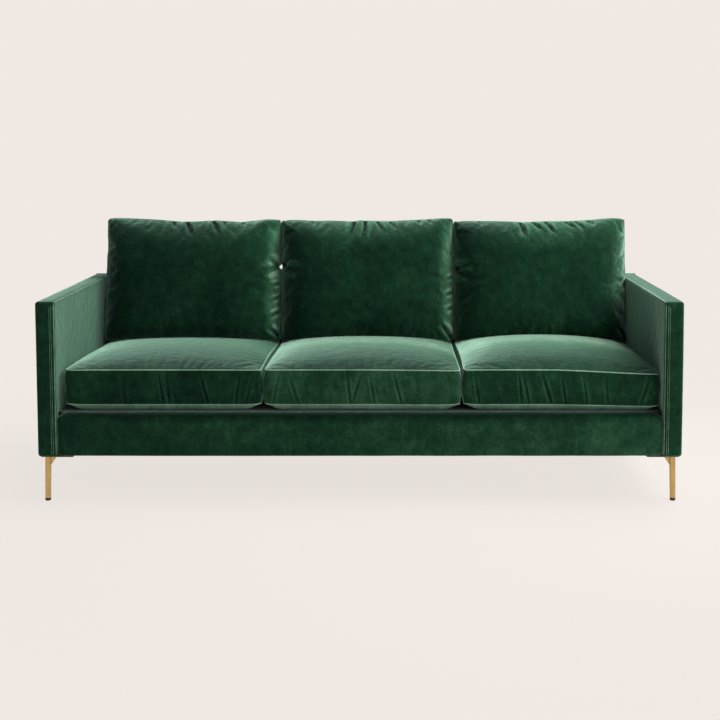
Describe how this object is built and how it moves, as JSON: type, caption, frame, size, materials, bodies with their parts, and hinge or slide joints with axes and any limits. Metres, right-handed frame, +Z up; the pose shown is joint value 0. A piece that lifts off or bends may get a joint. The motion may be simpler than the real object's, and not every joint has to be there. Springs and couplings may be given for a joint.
{
  "type": "sofa",
  "caption": "Long velvet sofa with slim track arms, loose boxed seat cushions, plump loose back cushions and slender brass legs.",
  "frame": {"origin": "on the floor, under the middle of the sofa's box", "axes": "+X to the right of a person who faces the sofa's front, +Y towards its back, +Z up"},
  "size_m": [2.08, 0.89, 0.8757],
  "materials": {
    "velvet": "soft cut pile",
    "timber": "planed and unfinished",
    "hardboard": "smooth board",
    "webbing": "woven elastic",
    "felt": "needled felt",
    "foam": "open-cell foam",
    "fibre_fill": "quilted fibre",
    "deck_cloth": "woven lining",
    "dust_cloth": "non-woven cambric",
    "brass": "brushed",
    "glide_plastic": "matt",
    "bolt_steel": "zinc plated"
  },
  "bodies": {
    "frame": {"arm_board_left": "hardboard", "arm_board_right": "hardboard", "arm_bolts": "bolt_steel", "arm_bottom_rail_left": "timber", "arm_bottom_rail_right": "timber", "arm_cover_left": "velvet", "arm_cover_right": "velvet", "arm_front_post_left": "timber", "arm_front_post_right": "timber", "arm_rear_post_left": "timber", "arm_rear_post_right": "timber", "arm_top_rail_left": "timber", "arm_top_rail_right": "timber", "back_end_upright_left": "timber", "back_end_upright_right": "timber", "back_middle_upright_left": "timber", "back_middle_upright_right": "timber", "back_top_rail": "timber", "back_webbing": "webbing", "corner_blocks": "timber", "deck_cloth": "deck_cloth", "deck_felt": "felt", "deck_foam": "foam", "dust_cover": "dust_cloth", "front_rail": "timber", "front_rail_cover": "velvet", "inside_back_cover": "velvet", "leg_front_left": "brass", "leg_front_right": "brass", "leg_glides": "glide_plastic", "leg_rear_left": "brass", "leg_rear_right": "brass", "outside_back_panel": "velvet", "rear_rail": "timber", "seat_webbing_crosswise": "webbing", "seat_webbing_lengthwise": "webbing", "side_rail_left": "timber", "side_rail_right": "timber", "stretcher_left": "timber", "stretcher_right": "timber"},
    "seat_cushion_left": {"seat_cushion_cover_left": "velvet", "seat_cushion_core_left": "foam"},
    "back_cushion_left": {"back_cushion_cover_left": "velvet", "back_cushion_fill_left": "fibre_fill"},
    "seat_cushion_middle": {"seat_cushion_cover_middle": "velvet", "seat_cushion_core_middle": "foam"},
    "back_cushion_middle": {"back_cushion_cover_middle": "velvet", "back_cushion_fill_middle": "fibre_fill"},
    "seat_cushion_right": {"seat_cushion_cover_right": "velvet", "seat_cushion_core_right": "foam"},
    "back_cushion_right": {"back_cushion_cover_right": "velvet", "back_cushion_fill_right": "fibre_fill"}
  },
  "joints": [
    {"name": "seat_left_pull", "type": "slide", "parent": "frame", "child": "seat_cushion_left", "axis": [0, -1, 0], "range_m": [0, 0.78]},
    {"name": "back_left_lift", "type": "slide", "parent": "frame", "child": "back_cushion_left", "axis": [0, 0.1616, 0.9869], "range_m": [0, 0.45]},
    {"name": "seat_middle_pull", "type": "slide", "parent": "frame", "child": "seat_cushion_middle", "axis": [0, -1, 0], "range_m": [0, 0.78]},
    {"name": "back_middle_lift", "type": "slide", "parent": "frame", "child": "back_cushion_middle", "axis": [0, 0.1616, 0.9869], "range_m": [0, 0.45]},
    {"name": "seat_right_pull", "type": "slide", "parent": "frame", "child": "seat_cushion_right", "axis": [0, -1, 0], "range_m": [0, 0.78]},
    {"name": "back_right_lift", "type": "slide", "parent": "frame", "child": "back_cushion_right", "axis": [0, 0.1616, 0.9869], "range_m": [0, 0.45]}
  ]
}
